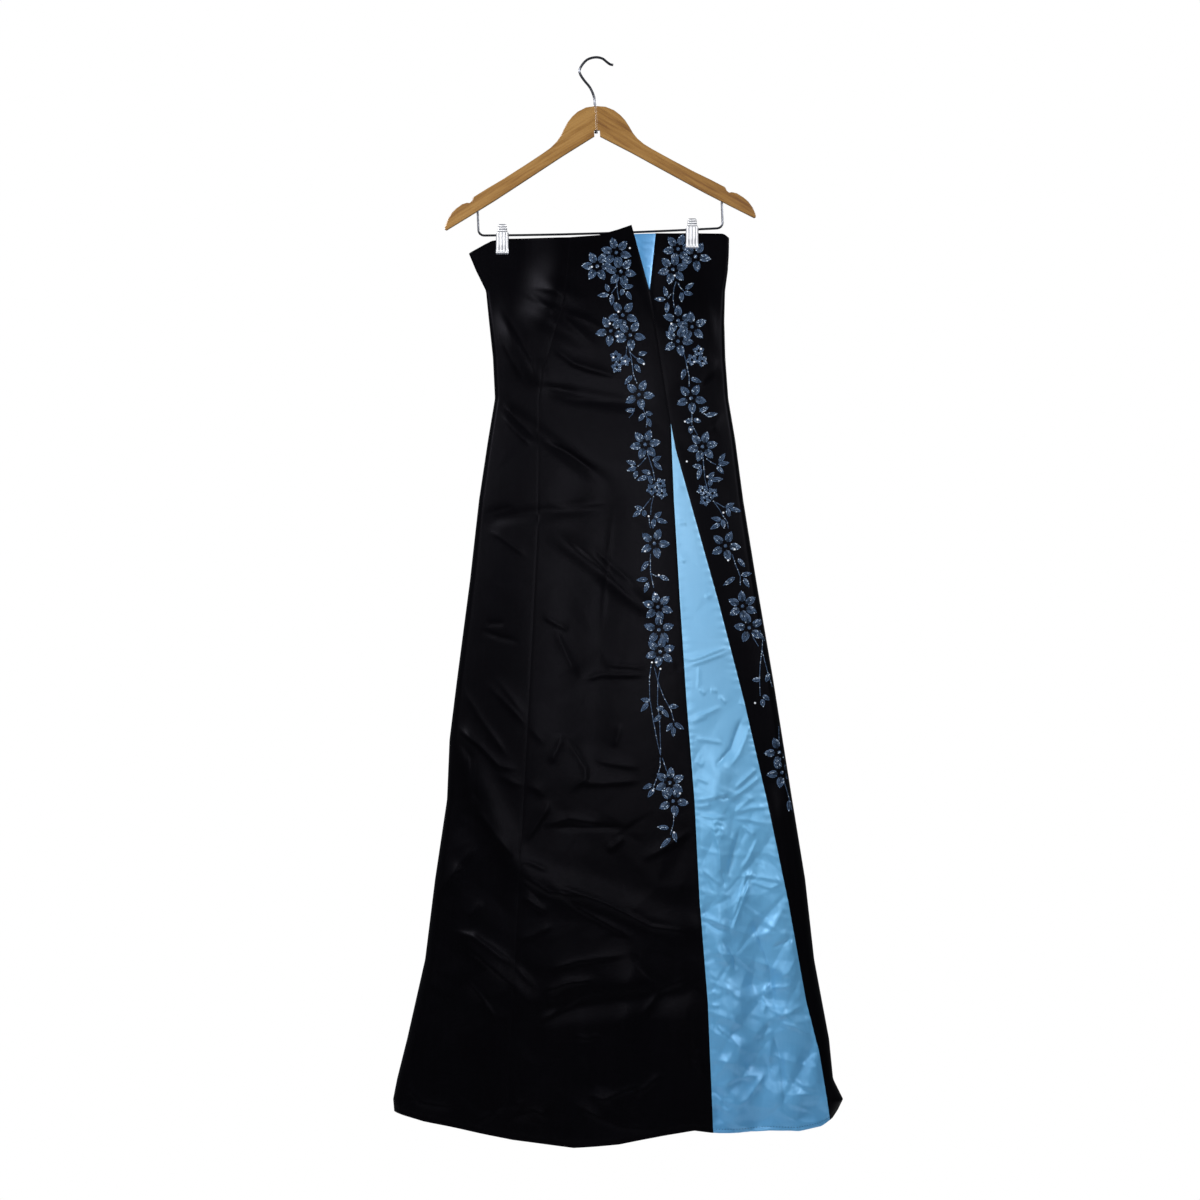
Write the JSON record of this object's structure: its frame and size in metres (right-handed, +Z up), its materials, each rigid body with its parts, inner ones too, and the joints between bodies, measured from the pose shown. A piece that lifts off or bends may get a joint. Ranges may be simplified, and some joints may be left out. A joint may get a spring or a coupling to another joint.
{
  "type": "prom dress on a clip hanger",
  "caption": "Strapless full-length satin gown with a contrast godet and beaded flower vines, hung from a wooden clip hanger.",
  "frame": {"origin": "inner top of the hanger's hook, where it rests on a rail", "axes": "+Z up, the gown's front faces -Y, +X is to the right of someone who faces the front"},
  "size_m": [0.6439, 0.1114, 1.5561],
  "materials": {
    "black_satin": "smooth satin, near black with a soft grey sheen",
    "blue_satin": "smooth satin, light sky blue",
    "beadwork": "slate blue beads, thread petals and sequins",
    "wood": "varnished, honey brown with open grain",
    "chrome": "polished",
    "zip_metal": "black lacquered"
  },
  "bodies": {
    "gown_and_hanger": {"front_side_panel": "black_satin", "front_centre_panel": "black_satin", "front_right_panel": "black_satin", "back_left_panel": "black_satin", "back_right_panel": "black_satin", "neckline_insert": "blue_satin", "skirt_godet": "blue_satin", "zip_slider": "zip_metal", "hanger_arm_left": "wood", "hanger_arm_right": "wood", "hanger_hook": "chrome", "hanger_bar": "chrome", "clip_left_front_jaw": "chrome", "clip_left_back_jaw": "chrome", "clip_left_spring": "chrome", "clip_right_front_jaw": "chrome", "clip_right_back_jaw": "chrome", "clip_right_spring": "chrome"},
    "zip_tab": {"zip_pull": "zip_metal"}
  },
  "joints": [
    {"name": "zip_tab_swing", "type": "hinge", "parent": "gown_and_hanger", "child": "zip_tab", "pos_m": [0.0061, 0.01732, -0.27316], "axis": [1, 0, 0], "range_deg": [0, 150]}
  ]
}
